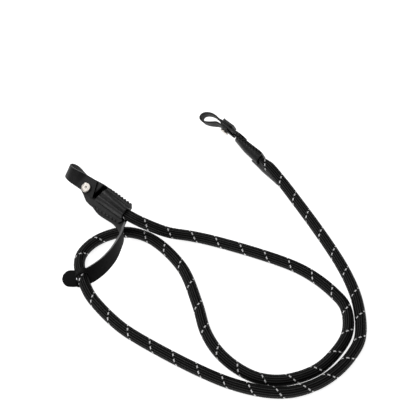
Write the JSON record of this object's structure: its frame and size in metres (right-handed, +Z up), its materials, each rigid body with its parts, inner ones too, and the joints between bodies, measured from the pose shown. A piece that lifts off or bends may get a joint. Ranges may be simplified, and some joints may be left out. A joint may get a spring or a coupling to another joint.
{
  "type": "camera strap",
  "caption": "Round braided rope camera strap, laid out in loops, with leather end pieces that have sleeves, lug loops and studs, and a slit leather tab that the rope is threaded through.",
  "frame": {"origin": "middle of the box round the end pieces, on the table the strap lies on", "axes": "+Z up from the table, X along the end pieces from their lug loops to their sleeves' mouths, +Y from the left end piece towards the right one"},
  "size_m": [0.2832, 0.21, 0.0295],
  "materials": {
    "black_braid": "tight round braid, black with small white flecks, soft sheen",
    "black_leather": "smooth black leather, satin",
    "nickel": "polished nickel",
    "black_moulding": "matte black, ribbed"
  },
  "bodies": {
    "root": {"rope": "black_braid", "left_strap": "black_leather", "left_base": "black_leather", "left_sleeve_patch": "black_leather", "left_stud": "nickel", "left_clamp_block": "black_moulding", "right_strap": "black_leather", "right_base": "black_leather", "right_sleeve_patch": "black_leather", "right_stud": "nickel", "right_clamp_block": "black_moulding", "right_tongue": "black_leather"}
  },
  "joints": []
}
